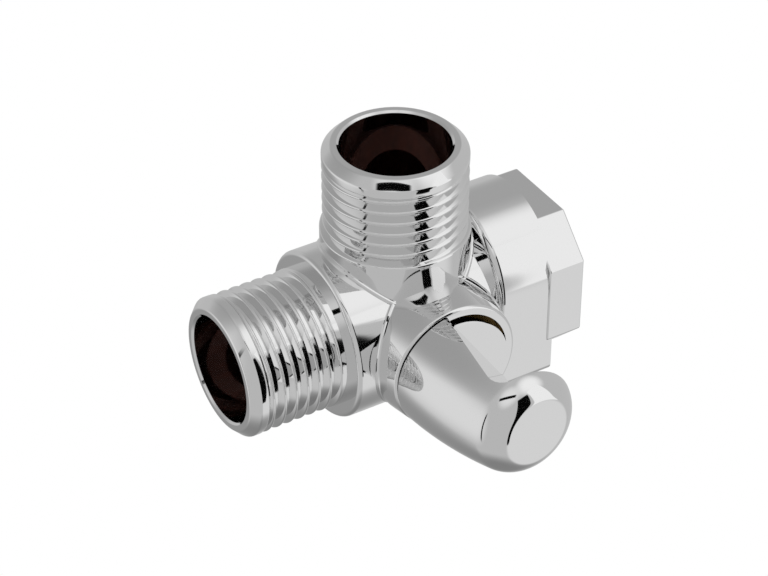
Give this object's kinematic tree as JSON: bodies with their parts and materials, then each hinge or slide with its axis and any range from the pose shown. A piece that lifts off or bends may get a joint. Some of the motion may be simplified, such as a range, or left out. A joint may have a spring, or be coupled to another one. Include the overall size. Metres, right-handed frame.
{
  "type": "shower diverter valve",
  "caption": "Chromed brass three-way diverter valve with a threaded inlet, a side outlet, a top outlet and a turned handle that switches the flow.",
  "frame": {"origin": "on the inlet axis, where the inlet's thread begins", "axes": "+X out of the inlet towards the shower arm, +Z along the top outlet, -Y along the handle"},
  "size_m": [0.0542, 0.0485, 0.0412],
  "materials": {
    "chrome": "polished chrome plate on brass",
    "raw_brass": "machined",
    "rubber": "moulded matt",
    "ptfe": "skived matt",
    "stainless": "bright drawn"
  },
  "bodies": {
    "body": {"valve_body": "chrome", "inlet_washer": "rubber", "inlet_screen": "stainless", "thrust_washer": "ptfe", "bonnet": "raw_brass", "bonnet_o_ring": "rubber"},
    "spindle": {"rotor": "raw_brass", "port_seal": "rubber", "seal_spring": "stainless", "stem": "raw_brass", "stem_o_ring_inner": "rubber", "stem_o_ring_outer": "rubber", "handle": "chrome", "handle_grub_screw": "stainless"}
  },
  "joints": [
    {"name": "handle_turn", "type": "hinge", "parent": "body", "child": "spindle", "pos_m": [-0.02425, 0, 0], "axis": [0, 1, 0], "range_deg": [0, 90]}
  ]
}
